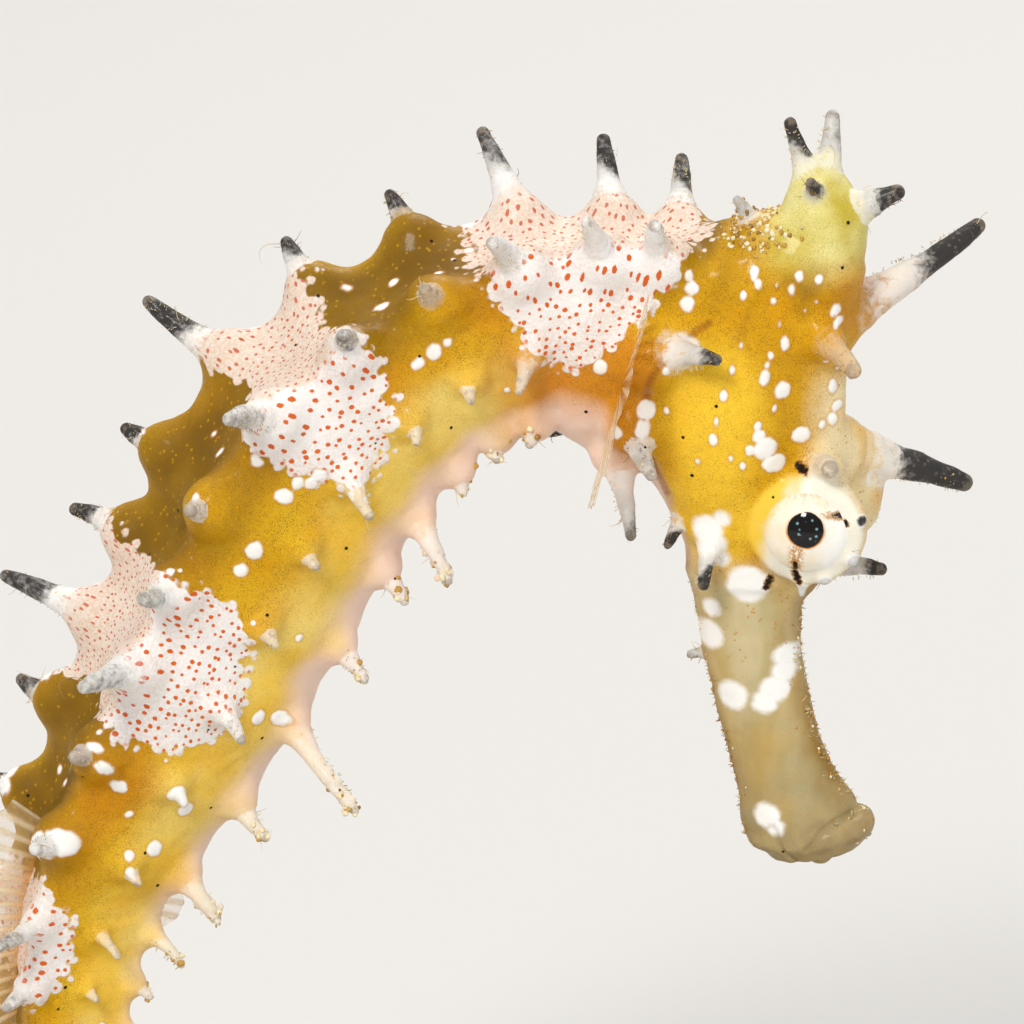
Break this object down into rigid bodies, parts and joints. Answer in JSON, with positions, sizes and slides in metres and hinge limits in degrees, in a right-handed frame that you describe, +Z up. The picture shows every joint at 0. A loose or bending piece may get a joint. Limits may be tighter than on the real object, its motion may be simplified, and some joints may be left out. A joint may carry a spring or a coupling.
{
  "type": "thorny seahorse display model",
  "caption": "Life-size thorny seahorse with a curled tail, still, held above a plain oblong base by a short rod.",
  "frame": {"origin": "middle of the underside of the stand's base, on the surface that it stands on", "axes": "+X the way the head faces, +Y to the animal's left, +Z up"},
  "size_m": [0.074, 0.046, 0.0871],
  "materials": {
    "skin": "painted moist fish skin, golden ochre with white saddles and orange dots, fine grain",
    "fin": "thin, part clear, with fine rays",
    "eye": "polished, cream iris round a black pupil",
    "base": "dark satin wood with eased edges",
    "rod": "turned and softly polished"
  },
  "bodies": {
    "root": {"head": "skin", "snout": "skin", "coronet": "skin", "neck": "skin", "trunk_front": "skin", "trunk_middle": "skin", "trunk_rear": "skin", "tail_root": "skin", "tail_upper": "skin", "tail_bend": "skin", "tail_lower": "skin", "tail_curl": "skin", "tail_inner_curl": "skin", "tail_tip": "skin", "eye_right": "eye", "eye_left": "eye", "pectoral_fin_right": "fin", "pectoral_fin_left": "fin", "dorsal_fin": "fin", "anal_fin": "fin", "stand_base": "base", "stand_rod": "rod"}
  },
  "joints": []
}
